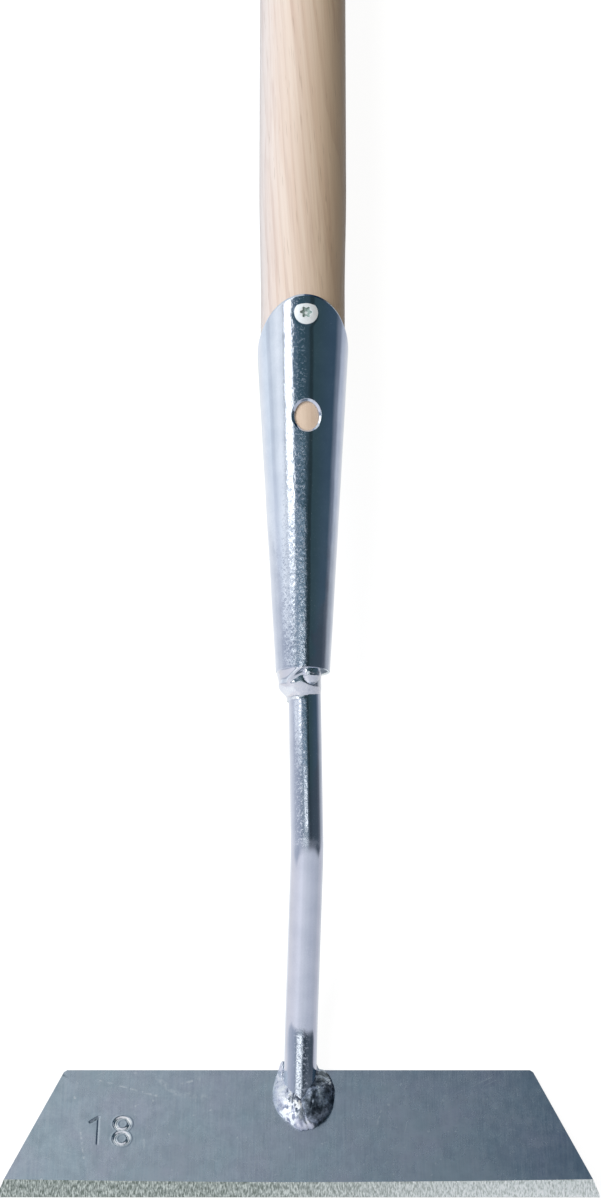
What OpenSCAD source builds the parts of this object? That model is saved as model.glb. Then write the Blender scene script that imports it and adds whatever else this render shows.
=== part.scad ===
// Dutch hoe: an ash handle in a rolled sheet socket, a bent round neck and a flat push blade.
// The tool lies on its back on a floor at z = 0, as it does when it is laid down:
// the rear edge of the blade and the rounded butt of the handle touch the floor.
// +Y runs along the handle to the butt, +Z is up, and the tongue of the socket faces up.

/* [Handle] */
// Diameter of the straight pole
handle_d = 28; // [26:0.5:30]
// Length of the pole with its nose
handle_l = 1700; // [1200:10:1800]
// Rounding radius of the butt
butt_round = 9; // [4:0.5:12]
// How much slimmer the waist at the socket mouth is
waist_step = 1.2; // [0.6:0.1:1.6]
// Length over which the pole slims down to the waist
waist_run = 38; // [25:1:60]
// Gap between the wooden nose and the sheet
fit_gap = 0.1; // [0.05:0.05:0.2]

/* [Socket] */
// Length from the small end to the tip of the tongue
socket_l = 118; // [105:1:135]
// Outside diameter of the small end
socket_small_d = 16.8; // [16:0.2:19]
// Thickness of the rolled sheet
sheet_t = 1.25; // [1:0.05:1.5]
// Slant of the mouth
mouth_slant = 44; // [32:1:50]
// Width of the open seam at the back
seam_w = 1.2; // [0.8:0.1:2]
// Diameter of the open hole in the front wall
hole_d = 11; // [8:0.5:12]
// Distance of that hole below the tip
hole_drop = 39; // [34:0.5:46]
// Turn of the socket and neck about the handle, seen against the blade
head_turn = 4; // [0:1:8]

/* [Screw] */
// Diameter of the screw head
screw_head_d = 7.5; // [7:0.1:8.2]
// Diameter over the thread
screw_d = 4; // [3.5:0.1:4.5]
// Length of the screw below its head rim
screw_l = 22; // [16:1:24]
// Distance of the screw below the tip
screw_drop = 6.1; // [5.5:0.1:9]

/* [Neck] */
// Diameter of the round bar
rod_d = 10; // [9:0.5:11]
// Length of bar inside the socket
neck_in = 24; // [15:1:28]
// Socket end to the upper bend
neck_upper = 55.4; // [45:0.2:70]
// Upper bend to the lower bend
neck_middle = 56.7; // [46:0.1:70]
// Lower bend to the blade
neck_lower = 19.2; // [16:0.1:30]
// Backward lean of the middle stretch
neck_lean = 18.4; // [12:0.2:24]
// Backward lean of the foot
foot_lean = 4; // [0:0.5:8]
// Bend radius on the centre line
bend_r = 30; // [20:1:40]

/* [Blade] */
// Length of the cutting edge
blade_front_w = 180; // [150:5:200]
// Length of the rear edge
blade_back_w = 144; // [120:2:160]
// Rear edge to cutting edge
blade_depth = 43; // [38:0.5:60]
// Plate thickness
blade_t = 2.5; // [2:0.1:3]
// Angle between blade and handle
blade_angle = 30; // [24:1:38]
// Width of the ground bevel
bevel_w = 4.2; // [3:0.1:6]
// Blunt land left at the cutting edge
edge_land = 0.3; // [0.2:0.05:0.5]
// Clip of the rear corners
corner_clip = 1.2; // [0.8:0.1:3]
// Rear edge to the middle of the foot
foot_setback = 9.2; // [8.6:0.1:14]

/* [Size number] */
// Radius of the stamped groove
stamp_r = 0.5; // [0.3:0.05:0.6]
// Depth of the stamped groove
stamp_depth = 0.32; // [0.2:0.02:0.4]
// Ring radius of the upper loop
loop_top_r = 2.35; // [2:0.05:2.6]
// Ring radius of the lower loop
loop_low_r = 2.65; // [2.2:0.05:2.9]
// Middle of the number, left of the blade's middle
stamp_left = 57.4; // [40:0.2:60]
// Cutting edge to the middle of the number
stamp_up = 21.6; // [16:0.2:24]
// Space from the straight digit to the middle of the loops
digit_gap = 7.3; // [6:0.1:9]

/* [Welds] */
// Width of the foot weld on the plate
foot_weld_w = 19.4; // [18:0.2:22]
// Height of the foot weld
foot_weld_h = 6.5; // [5:0.1:7.5]
// How far the weld is set towards the cutting edge
foot_weld_ahead = 2.4; // [1:0.1:4]
// Length of the weld below the socket
socket_weld_l = 8.6; // [6:0.2:11]
// Depth of the weld inside the socket
socket_weld_in = 6; // [3:0.5:9]
// Radius of the round of the socket weld
socket_weld_round = 8; // [7:0.5:14]

/* [Hidden] */
$fn = 96;
// Overlap that a cutting shape needs to pass clean through a face
eps = 1;
// A box larger than the head of the tool
big = 260;

// Socket cone: its mouth takes the full pole
mouth_ease = 0.15;
small_r = socket_small_d / 2;
mouth_r = (handle_d + mouth_ease) / 2 + sheet_t;
cone_slope = (mouth_r - small_r) / socket_l;
function socket_out_r(z) = small_r + z * cone_slope;
function socket_in_r(z) = socket_out_r(z) - sheet_t;

// Handle: nose in the socket, waist at the mouth, full pole above
nose_gap = 3;
nose_z = neck_in + nose_gap;
waist_r = (handle_d - waist_step) / 2;
seat_top_z = (waist_r + fit_gap + sheet_t - small_r) / cone_slope;
waist_bare = 3;
waist_top_z = max(socket_l, seat_top_z) + waist_bare;
pole_z = waist_top_z + waist_run;
butt_z = nose_z + handle_l;

// Screw: its head rim lies a little below the crest of the tongue
screw_z = socket_l - screw_drop;
hole_z = socket_l - hole_drop;
screw_sink = 0.35;
screw_y = socket_out_r(screw_z) - screw_sink;
screw_dome_h = 1;
screw_core_share = 0.66;
screw_core_d = screw_d * screw_core_share;
screw_cone_h = (screw_head_d - screw_d) / 2;
screw_collar_h = 1.2;
screw_pitch = 1.7;
screw_point_h = 4;
// A ring of the thread in pitches: where it starts, and the height of each flank
ring_start = 0.1;
ring_flank = 0.4;
screw_turns = floor((screw_l - screw_cone_h - screw_collar_h - screw_point_h) / screw_pitch);
screw_play = 0.05;
recess_depth = 1.7;
recess_lobes = 6;
recess_core_r = 1.45;
recess_lobe_r = 0.42;

// Neck: points where the straight stretches meet, before the turn of the head
rod_r = rod_d / 2;
foot_bend = neck_lean - foot_lean;
bend_in = bend_r * tan(neck_lean / 2);
bend_out = bend_r * tan(foot_bend / 2);
foot_y = neck_middle * sin(neck_lean) + neck_lower * sin(foot_lean);
foot_z = -neck_upper - neck_middle * cos(neck_lean) - neck_lower * cos(foot_lean);
foot = [-foot_y * sin(head_turn), foot_y * cos(head_turn), foot_z];
foot_over = 14;
// Bending swells the bar by a hair, and the straight stretches reach into the bends
bend_swell = 0.03;
bend_lap = 0.5;

// Flag of the straight digit
flag_l = 3;
flag_turn = 215;

// Foot weld: a round cap of metal on the plate
cap_w = foot_weld_w / 2;
cap_r = (cap_w * cap_w + foot_weld_h * foot_weld_h) / (2 * foot_weld_h);

// Socket weld: a rounded collar from the sheet down to the bar
collar_step = 0.3;
collar_r = small_r - collar_step;
collar_dr = collar_r - rod_r;
collar_span = sqrt(collar_dr * collar_dr + socket_weld_l * socket_weld_l);
collar_rise = sqrt(socket_weld_round * socket_weld_round - collar_span * collar_span / 4);
collar_mid = [(collar_r + rod_r) / 2, -socket_weld_l / 2];
collar_way = [-socket_weld_l / collar_span, collar_dr / collar_span];
collar_c = collar_mid + collar_rise * collar_way;

// Lying pose: rear edge of the blade and round of the butt on the floor
rear_y = foot[1] + foot_setback * sin(blade_angle) + blade_t * cos(blade_angle);
rear_z = foot[2] + foot_setback * cos(blade_angle) - blade_t * sin(blade_angle);
butt_c_y = handle_d / 2 - butt_round;
butt_c_z = butt_z - butt_round;
rest_up = rear_y - butt_c_y;
rest_along = butt_c_z - rear_z;
rest_far = sqrt(rest_up * rest_up + rest_along * rest_along);
rest_tilt = acos(butt_round / rest_far) - atan2(rest_along, rest_up);
floor_z = -rear_y * cos(rest_tilt) - rear_z * sin(rest_tilt);
edge_back = blade_depth - foot_setback;
edge_y = foot[1] - edge_back * sin(blade_angle) + blade_t * cos(blade_angle);
edge_z = foot[2] - edge_back * cos(blade_angle) - blade_t * sin(blade_angle);
front_end = edge_z * cos(rest_tilt) - edge_y * sin(rest_tilt);
butt_end = butt_z * cos(rest_tilt);

// Places an upright tool, small end of the socket at the origin, in its lying pose
module laid_down() {
  translate([-foot[0], -(front_end + butt_end) / 2, -floor_z])
    rotate([-90 - rest_tilt, 0, 0])
      children();
}

// Turns the socket, its screw and the neck about the handle
module turned() {
  rotate([0, 0, head_turn])
    children();
}

// Blade frame: origin at the middle of the foot, y to the rear edge, z out of the top face
module on_blade() {
  translate(foot)
    rotate([90 - blade_angle, 0, 0])
      children();
}

// Screw frame: origin in the rim plane of the head, z out of the socket
module at_screw() {
  translate([0, -screw_y, screw_z])
    rotate([90, 0, 0])
      children();
}

// Straight bar that runs down from the origin, with what follows at its end
module run_down(l) {
  translate([0, 0, -l - bend_lap])
    cylinder(r = rod_r, h = l + 2 * bend_lap);
  translate([0, 0, -l])
    children();
}

// Bent bar that starts down from the origin and curls to the back by a
module curl(a) {
  translate([0, bend_r, 0])
    rotate([180, 0, 0])
      rotate([90, 0, 90])
        rotate_extrude(angle = a)
          translate([bend_r, 0])
            circle(r = rod_r + bend_swell);
}

// Bend backwards by a, with what follows at its end
module bend_back(a) {
  curl(a);
  translate([0, bend_r, 0])
    rotate([a, 0, 0])
      translate([0, -bend_r, 0])
        children();
}

// Bend forwards by a, with what follows at its end
module bend_forward(a) {
  mirror([0, 1, 0])
    curl(a);
  translate([0, -bend_r, 0])
    rotate([-a, 0, 0])
      translate([0, bend_r, 0])
        children();
}

// The whole bar, longer at the foot than the finished neck
module long_bar() {
  translate([0, 0, neck_in - bend_lap])
    run_down(neck_in - bend_lap + neck_upper - bend_in)
      bend_back(neck_lean)
        run_down(neck_middle - bend_in - bend_out)
          bend_forward(foot_bend)
            run_down(neck_lower - bend_out + foot_over);
}

// Outline of the pole from its axis outwards
module pole_outline() {
  polygon([
    [0, nose_z],
    [socket_in_r(nose_z) - fit_gap, nose_z],
    [waist_r, seat_top_z],
    [waist_r, waist_top_z],
    [handle_d / 2, pole_z],
    [handle_d / 2, butt_z - butt_round],
    [0, butt_z - butt_round]
  ]);
  translate([0, butt_z - butt_round])
    square([handle_d / 2 - butt_round, butt_round]);
  intersection() {
    translate([handle_d / 2 - butt_round, butt_z - butt_round])
      circle(r = butt_round);
    translate([handle_d / 2 - butt_round, butt_z - butt_round])
      square([butt_round, butt_round]);
  }
}

// Room for the screw in the wood
module screw_room() {
  cylinder_l = screw_l + screw_play;
  translate([0, 0, -cylinder_l])
    cylinder(d = screw_d + 2 * screw_play, h = cylinder_l);
  translate([0, 0, -screw_cone_h])
    cylinder(d1 = screw_d + 2 * screw_play, d2 = screw_head_d + 2 * screw_play, h = screw_cone_h);
  cylinder(d = screw_head_d + 2 * screw_play, h = sheet_t + eps);
}

// Ash pole
module handle() {
  color([0.84, 0.73, 0.62])
    laid_down()
      difference() {
        rotate_extrude()
          pole_outline();
        turned()
          at_screw()
            screw_room();
      }
}

// Rolled sheet cone with a slanting mouth, an open seam and an open hole
module socket() {
  color([0.70, 0.74, 0.79])
    laid_down()
      turned()
        difference() {
          rotate_extrude()
            polygon([
              [small_r - sheet_t, 0],
              [small_r, 0],
              [mouth_r, socket_l],
              [mouth_r - sheet_t, socket_l]
            ]);
          translate([0, -mouth_r, socket_l])
            rotate([-mouth_slant, 0, 0])
              translate([-mouth_r - eps, -mouth_r, 0])
                cube([2 * mouth_r + 2 * eps, big, big]);
          translate([-seam_w / 2, 0, -eps])
            cube([seam_w, mouth_r + eps, socket_l + 2 * eps]);
          translate([0, 0, hole_z])
            rotate([90, 0, 0])
              cylinder(d = hole_d, h = mouth_r + eps);
          at_screw()
            screw_room();
        }
}

// Outline of the screw from its axis outwards, tip at the bottom
module screw_outline() {
  thread_top = -screw_cone_h - screw_collar_h;
  thread_low = thread_top - screw_turns * screw_pitch;
  core_r = screw_core_d / 2;
  polygon(concat(
    [[0, 0], [screw_head_d / 2, 0], [screw_d / 2, -screw_cone_h], [screw_d / 2, thread_top]],
    [for (i = [0 : screw_turns - 1], k = [0 : 2])
      [k == 1 ? screw_d / 2 : core_r, thread_top - (i + ring_start + ring_flank * k) * screw_pitch]],
    [[core_r, thread_low], [0, -screw_l]]
  ));
}

// Wood screw with a raised head and a six-lobed recess
module tongue_screw() {
  dome_r = (screw_head_d * screw_head_d / 4 + screw_dome_h * screw_dome_h) / (2 * screw_dome_h);
  color([0.86, 0.87, 0.88])
    laid_down()
      turned()
        at_screw()
          difference() {
            union() {
              rotate_extrude()
                screw_outline();
              intersection() {
                translate([0, 0, screw_dome_h - dome_r])
                  sphere(r = dome_r);
                cylinder(d = screw_head_d, h = 2 * screw_dome_h);
              }
            }
            translate([0, 0, screw_dome_h - recess_depth])
              cylinder(r = recess_core_r, h = recess_depth + eps);
            for (i = [0 : recess_lobes - 1])
              rotate([0, 0, i * 360 / recess_lobes])
                translate([recess_core_r, 0, screw_dome_h - recess_depth])
                  cylinder(r = recess_lobe_r, h = recess_depth + eps);
          }
}

// Bent round bar, its foot cut to the top face of the blade
module neck() {
  color([0.74, 0.78, 0.83])
    laid_down()
      difference() {
        turned()
          long_bar();
        on_blade()
          translate([-big / 2, -big / 2, -big])
            cube([big, big, big]);
      }
}

// Weld that fills the small end of the socket and rounds down to the bar
module socket_weld() {
  color([0.66, 0.69, 0.73])
    laid_down()
      rotate_extrude() {
        polygon([
          [rod_r, 0],
          [socket_in_r(0) - fit_gap, 0],
          [socket_in_r(socket_weld_in) - fit_gap, socket_weld_in],
          [rod_r, socket_weld_in]
        ]);
        intersection() {
          translate(collar_c)
            circle(r = socket_weld_round);
          translate([rod_r, -socket_weld_l])
            square([collar_dr, socket_weld_l]);
        }
      }
}

// Side view of the plate, rear edge to cutting edge
module blade_side() {
  polygon([
    [foot_setback, 0],
    [foot_setback, -blade_t],
    [-edge_back, -blade_t],
    [-edge_back, edge_land - blade_t],
    [bevel_w - edge_back, 0]
  ]);
}

// Groove with round ends along x from the origin
module stamped_line(l) {
  rotate([0, 90, 0])
    cylinder(r = stamp_r, h = l);
  sphere(r = stamp_r);
  translate([l, 0, 0])
    sphere(r = stamp_r);
}

// Round groove
module stamped_loop(r) {
  rotate_extrude()
    translate([r, 0])
      circle(r = stamp_r);
}

// The size number: a straight digit and a digit of two loops
module stamped_number() {
  tall = 2 * (loop_top_r + loop_low_r);
  translate([-digit_gap, -tall / 2, 0])
    rotate([0, 0, 90])
      stamped_line(tall);
  translate([-digit_gap, tall / 2, 0])
    rotate([0, 0, flag_turn])
      stamped_line(flag_l);
  translate([0, -tall / 2 + loop_low_r, 0])
    stamped_loop(loop_low_r);
  translate([0, tall / 2 - loop_top_r, 0])
    stamped_loop(loop_top_r);
}

// Outline of the plate seen from above, with clipped rear corners
module blade_plan() {
  slope = (blade_front_w - blade_back_w) / 2 / blade_depth;
  rear_x = blade_back_w / 2 - corner_clip;
  side_x = blade_back_w / 2 + slope * corner_clip;
  side_y = foot_setback - corner_clip;
  polygon([
    [-blade_front_w / 2, -edge_back],
    [blade_front_w / 2, -edge_back],
    [side_x, side_y],
    [rear_x, foot_setback],
    [-rear_x, foot_setback],
    [-side_x, side_y]
  ]);
}

// Trapezium plate with a ground bevel and its stamped size
module blade() {
  color([0.60, 0.65, 0.70])
    laid_down()
      on_blade()
        difference() {
          intersection() {
            rotate([90, 0, 90])
              translate([0, 0, -blade_front_w])
                linear_extrude(2 * blade_front_w)
                  blade_side();
            translate([0, 0, -blade_t - eps])
              linear_extrude(blade_t + 2 * eps)
                blade_plan();
          }
          translate([-stamp_left + digit_gap / 2, stamp_up - edge_back, stamp_r - stamp_depth])
            stamped_number();
        }
}

// One side of the cap of weld metal around the foot, 1 for right and -1 for left
module foot_weld(side) {
  color([0.68, 0.72, 0.77])
    laid_down()
      difference() {
        on_blade()
          intersection() {
            translate([0, -foot_weld_ahead, foot_weld_h - cap_r])
              sphere(r = cap_r);
            translate([side > 0 ? 0 : -cap_r - eps, foot_setback - big, 0])
              cube([cap_r + eps, big, cap_r]);
          }
        turned()
          long_bar();
      }
}

module foot_weld_left() {
  foot_weld(-1);
}

module foot_weld_right() {
  foot_weld(1);
}

handle();
socket();
tongue_screw();
neck();
socket_weld();
blade();
foot_weld_left();
foot_weld_right();
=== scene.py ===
# %% [markdown]
# A dutch hoe, dressed for its picture.
# The solids come from the CAD model and are only a frame here: each one is replaced by a piece
# with softened edges, weld ripples, wood grain and plating. All of them are made in metres, in
# the lying pose of the solids, so nothing has to be fitted by eye.

# %% Load the frame
import math
import bpy
import bmesh
from mathutils import Matrix, Vector, noise
from mathutils.geometry import delaunay_2d_cdt
from mathutils.kdtree import KDTree


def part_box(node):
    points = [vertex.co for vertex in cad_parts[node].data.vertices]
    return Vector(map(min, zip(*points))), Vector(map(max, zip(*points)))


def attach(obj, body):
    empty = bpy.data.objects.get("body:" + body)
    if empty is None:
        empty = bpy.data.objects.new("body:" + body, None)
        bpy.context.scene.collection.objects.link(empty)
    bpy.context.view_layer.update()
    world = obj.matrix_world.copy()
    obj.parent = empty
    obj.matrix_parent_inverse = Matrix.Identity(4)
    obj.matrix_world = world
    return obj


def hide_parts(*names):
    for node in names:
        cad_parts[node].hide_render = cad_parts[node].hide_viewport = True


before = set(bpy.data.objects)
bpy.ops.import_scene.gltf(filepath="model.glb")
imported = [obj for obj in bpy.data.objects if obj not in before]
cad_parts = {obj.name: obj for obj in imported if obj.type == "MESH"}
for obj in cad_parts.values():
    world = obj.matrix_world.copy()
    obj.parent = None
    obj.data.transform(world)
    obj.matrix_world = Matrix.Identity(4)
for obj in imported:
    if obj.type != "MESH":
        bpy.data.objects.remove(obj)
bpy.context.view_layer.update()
scene = bpy.context.scene
print("solids:", ", ".join(sorted(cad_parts)))

# %% [markdown]
# The tool is easiest to think of standing up, with its handle along Z, the tongue of the socket
# towards -Y and the small end of the socket at the origin, in millimetres. One matrix lays that
# upright tool down on the floor. Two more start from it: the socket and neck are turned a little
# about the handle, and the blade has its own frame with y towards its rear edge.

# %% Frames of the upright tool, in millimetres
MM = 0.001
REST_TILT = math.radians(0.3723238)
SMALL_END = Vector((0.0013419, -0.7840309, 0.0251639))
HEAD_TURN = math.radians(4)
FOOT = Vector((-1.34188, 19.18977, -128.35450))
BLADE_ANGLE = math.radians(30)

upright = (Matrix.Translation(SMALL_END)
           @ Matrix.Rotation(-math.pi / 2 - REST_TILT, 4, "X")
           @ Matrix.Scale(MM, 4))
turned = upright @ Matrix.Rotation(HEAD_TURN, 4, "Z")
on_blade = (upright @ Matrix.Translation(FOOT)
            @ Matrix.Rotation(math.pi / 2 - BLADE_ANGLE, 4, "X"))
print("small end of the socket at", tuple(round(v, 4) for v in upright.translation))


def smooth(a, b, x):
    """0 before a, 1 after b, and an S curve between."""
    t = min(1.0, max(0.0, (x - a) / (b - a)))
    return t * t * (3 - 2 * t)


def lumps(p, size, seed=0.0):
    """Soft noise between about -1 and 1 with lumps of that size."""
    return noise.noise(Vector((p[0] / size + seed, p[1] / size - seed, p[2] / size + 2 * seed)))


# %% [markdown]
# The picture is taken from almost straight above the blade, with a long lens, so the pole hardly
# tapers. Lens and distance belong together: the blade and the pole have the right widths in one
# frame at 0.85 m only.

# %% Camera
PHOTO_W, FOCAL_PX = 601, 2729
SENSOR_MM = 36
CAMERA_DISTANCE = 0.850
CAMERA_ELEVATION = math.radians(77.57)
LOOK_AT = Vector((0.00062, -0.76117, 0.02502))

camera = bpy.data.objects.new("photo_camera", bpy.data.cameras.new("photo_camera"))
scene.collection.objects.link(camera)
towards = Vector((0, -math.cos(CAMERA_ELEVATION), math.sin(CAMERA_ELEVATION)))
camera.location = LOOK_AT + towards * CAMERA_DISTANCE
camera.rotation_euler = (-towards).to_track_quat("-Z", "Y").to_euler()
camera.data.sensor_fit = "HORIZONTAL"
camera.data.sensor_width = SENSOR_MM
camera.data.lens = SENSOR_MM * FOCAL_PX / PHOTO_W
camera.data.clip_start = 0.01
camera.data.clip_end = 60
scene.camera = camera
scene.view_settings.view_transform = "Standard"
print("lens %.1f mm at %.2f m" % (camera.data.lens, CAMERA_DISTANCE))

# %% [markdown]
# Node trees are easier to read when one helper makes a node, sets its values and links its inputs
# in one line. An input may get a number, a colour or another node's output. The small helpers
# after it name what a few nodes are used for again and again.

# %% Node helpers


def add(tree, kind, inputs=None, **settings):
    """A new node with its settings and inputs; a short kind is that of a shader node."""
    n = tree.nodes.new(kind if "Node" in kind else "ShaderNode" + kind)
    for name, value in settings.items():
        setattr(n, name, value)
    for name, value in (inputs or {}).items():
        socket = n.inputs[name]
        if isinstance(value, bpy.types.NodeSocket):
            tree.links.new(value, socket)
        else:
            socket.default_value = (*value, 1) if socket.type == "RGBA" else value
    return n


def ramp(tree, factor, stops, interpolation="EASE"):
    """A colour ramp with (position, colour) stops."""
    n = add(tree, "ValToRGB", {"Fac": factor})
    n.color_ramp.interpolation = interpolation
    while len(n.color_ramp.elements) < len(stops):
        n.color_ramp.elements.new(1.0)
    for element, (position, colour) in zip(n.color_ramp.elements, stops):
        element.position = position
        element.color = (*colour, 1)
    return n.outputs["Color"]


def mapped(tree, value, a, b, low=0.0, high=1.0, kind="SMOOTHSTEP"):
    """A value brought from the range a..b to low..high."""
    n = add(tree, "MapRange", {"Value": value, "From Min": a, "From Max": b,
                               "To Min": low, "To Max": high}, interpolation_type=kind)
    return n.outputs["Result"]


def blend_colour(tree, factor, a, b, blend="MIX"):
    """Two colours mixed. A Mix node has sockets for many kinds; 6, 7 and 2 are for colours."""
    return add(tree, "Mix", {"Factor": factor, 6: a, 7: b},
               data_type="RGBA", blend_type=blend).outputs[2]


def maths(tree, operation, a, b=0.0):
    return add(tree, "Math", {0: a, 1: b}, operation=operation).outputs[0]


def times(tree, a, b):
    return maths(tree, "MULTIPLY", a, b)


def plus(tree, a, b):
    return maths(tree, "ADD", a, b)


def highest(tree, values):
    """The largest of several values."""
    top = values[0]
    for value in values[1:]:
        top = maths(tree, "MAXIMUM", top, value)
    return top


def band(tree, value, low, high, soft, rest=0.0):
    """1 between low and high, with soft edges, and the rest outside."""
    return times(tree, mapped(tree, value, low - soft, low + soft, rest),
                 mapped(tree, value, high + soft, high - soft, rest))


def noise_at(tree, vector, scale, detail=2.0, rough=0.5):
    return add(tree, "TexNoise", {"Vector": vector, "Scale": scale, "Detail": detail,
                                  "Roughness": rough}).outputs["Fac"]


# %% [markdown]
# Bright metal shows the room, so the room matters more than the lamps. A photographer places
# cards by looking at where the metal mirrors them, and the world does the same: the direction
# half way between a ray and the camera is the normal of a surface that mirrors that ray into the
# picture. Its X tells how far to the side of a round bar a card shows up, and its Y over its Z
# tells how much the bar leans there.

# %% World directions
world = bpy.data.worlds.new("studio")
world.use_nodes = True
world.cycles.sampling_method = "NONE"
scene.world = world
tree = world.node_tree
tree.nodes.clear()
ray = add(tree, "TexCoord").outputs["Generated"]
half = add(tree, "VectorMath", {0: ray, 1: towards}, operation="ADD").outputs[0]
half = add(tree, "VectorMath", {0: half}, operation="NORMALIZE").outputs[0]
split = add(tree, "SeparateXYZ", {"Vector": half})
side = split.outputs["X"]
lean = maths(tree, "DIVIDE", split.outputs["Y"], split.outputs["Z"])
across = mapped(tree, side, -1, 1, kind="LINEAR")


def card(*stops):
    """Colours from the left side of a bar (-1) to its right side (1)."""
    return ramp(tree, across, [((x + 1) / 2, colour) for x, colour in stops])


# %% [markdown]
# The sheet of the socket leans least. From left to right it mirrors a bright wall and then the
# dark side of the room, with a pale rim at both edges. Its lower half, seen a little more from
# above, shows a greyer room, so there are two cards, and the lean fades one into the other.

# %% Cards for the socket
RIM_LEFT, RIM_RIGHT = (0.95, 0.95, 0.95), (0.76, 0.76, 0.77)
DARK, DARKER = (0.040, 0.073, 0.084), (0.024, 0.042, 0.047)
upper_half = card(
    (-1.0, RIM_LEFT), (-0.80, (0.85, 0.90, 0.94)), (-0.765, (0.70, 0.75, 0.80)),
    (-0.72, (0.68, 0.72, 0.77)), (-0.67, (0.81, 0.85, 0.88)), (-0.55, (0.97, 0.99, 1.0)),
    (-0.46, (0.84, 0.87, 0.89)), (-0.35, (0.66, 0.70, 0.74)), (-0.255, (0.46, 0.52, 0.58)),
    (-0.20, (0.11, 0.165, 0.21)), (-0.05, (0.044, 0.088, 0.110)), (0.12, (0.042, 0.075, 0.092)),
    (0.175, DARKER), (0.215, DARKER), (0.26, DARK), (0.69, (0.048, 0.083, 0.118)),
    (0.80, (0.20, 0.23, 0.28)), (0.87, (0.50, 0.53, 0.59)), (1.0, RIM_RIGHT))
lower_half = card(
    (-1.0, RIM_LEFT), (-0.88, (0.94, 0.96, 0.97)), (-0.80, (0.90, 0.92, 0.95)),
    (-0.75, (0.76, 0.79, 0.85)), (-0.69, (0.76, 0.80, 0.86)), (-0.62, (0.90, 0.94, 0.98)),
    (-0.55, (0.95, 0.98, 1.0)), (-0.45, (0.82, 0.86, 0.90)), (-0.35, (0.66, 0.72, 0.77)),
    (-0.25, (0.41, 0.48, 0.54)), (-0.17, (0.27, 0.34, 0.41)), (-0.05, (0.24, 0.33, 0.40)),
    (0.05, (0.18, 0.26, 0.31)), (0.13, (0.06, 0.09, 0.11)), (0.175, DARKER), (0.215, DARKER),
    (0.26, DARK), (0.69, (0.058, 0.095, 0.128)), (0.80, (0.20, 0.23, 0.28)),
    (0.88, (0.52, 0.55, 0.60)), (1.0, RIM_RIGHT))
room = blend_colour(tree, mapped(tree, lean, -0.014, -0.052), upper_half, lower_half)

# %% [markdown]
# A window stands in that room, with the bar of its frame on the left. Both are bands of the side,
# and both end where the window ends, at one lean. They draw the bright line on the upper half of
# the socket.

# %% Window
FRAME_BAR, FRAME_SHARE = (0.42, 0.44, 0.47), 0.6
WINDOW_LIGHT = (1.7, 1.7, 1.65)
pane = mapped(tree, lean, -0.050, -0.040)
frame_bar = times(tree, band(tree, side, -0.455, -0.415, 0.012), times(tree, pane, FRAME_SHARE))
room = blend_colour(tree, frame_bar, room, FRAME_BAR)
window = times(tree, band(tree, side, -0.405, -0.235, 0.008), pane)
room = blend_colour(tree, window, room, WINDOW_LIGHT)

# %% [markdown]
# The upper stretch of the neck leans a little more and shows a greyer card with two bright tubes:
# a long one, and a short one just above the bend. Below the bend the bar shows the pale front
# of the room. The line between the two runs round the bend in an arch, so there the lean is
# raised by the fourth power of the distance from the middle.

# %% Cards for the neck
TUBE_LIGHT = (1.5, 1.53, 1.5)
ARCH_MIDDLE, ARCH_RISE, ARCH_MOST = 0.05, 0.62, 0.11
neck_card = card(
    (-1.0, RIM_LEFT), (-0.93, (0.84, 0.85, 0.87)), (-0.84, (0.70, 0.72, 0.76)),
    (-0.68, (0.48, 0.51, 0.58)), (-0.45, (0.37, 0.41, 0.49)), (-0.27, (0.25, 0.295, 0.355)),
    (-0.10, (0.30, 0.36, 0.40)), (0.05, (0.25, 0.31, 0.35)), (0.12, (0.12, 0.15, 0.18)),
    (0.20, (0.04, 0.055, 0.07)), (0.45, (0.055, 0.075, 0.095)), (0.64, (0.06, 0.08, 0.10)),
    (0.75, (0.10, 0.115, 0.14)), (0.87, (0.42, 0.44, 0.47)), (1.0, RIM_RIGHT))
long_tube = times(tree, band(tree, side, -0.13, 0.08, 0.02), mapped(tree, lean, -0.089, -0.079))
short_tube = times(tree, band(tree, side, -0.27, 0.07, 0.05),
                   band(tree, lean, -0.158, -0.137, 0.004))
neck_card = blend_colour(tree, highest(tree, [long_tube, short_tube]), neck_card, TUBE_LIGHT)
front_card = card(
    (-1.0, RIM_LEFT), (-0.86, (0.80, 0.78, 0.79)), (-0.60, (0.76, 0.75, 0.79)),
    (-0.30, (0.82, 0.82, 0.87)), (-0.10, (0.70, 0.71, 0.76)), (0.10, (0.62, 0.64, 0.69)),
    (0.40, (0.53, 0.55, 0.61)), (0.66, (0.49, 0.51, 0.56)), (0.80, (0.56, 0.56, 0.60)),
    (1.0, RIM_RIGHT))
off_middle = maths(tree, "ABSOLUTE", maths(tree, "SUBTRACT", side, ARCH_MIDDLE))
rise = times(tree, maths(tree, "POWER", off_middle, 4.0), ARCH_RISE)
arched = plus(tree, lean, maths(tree, "MINIMUM", rise, ARCH_MOST))
room = blend_colour(tree, mapped(tree, lean, -0.0685, -0.0715), room, neck_card)
room = blend_colour(tree, mapped(tree, arched, -0.155, -0.245), room, front_card)

# %% [markdown]
# What leans further still, such as lumps of weld, shows the low front of the room. The blade
# leans the other way and mirrors the back of the room, pale on the left and dark on the right.

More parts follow.
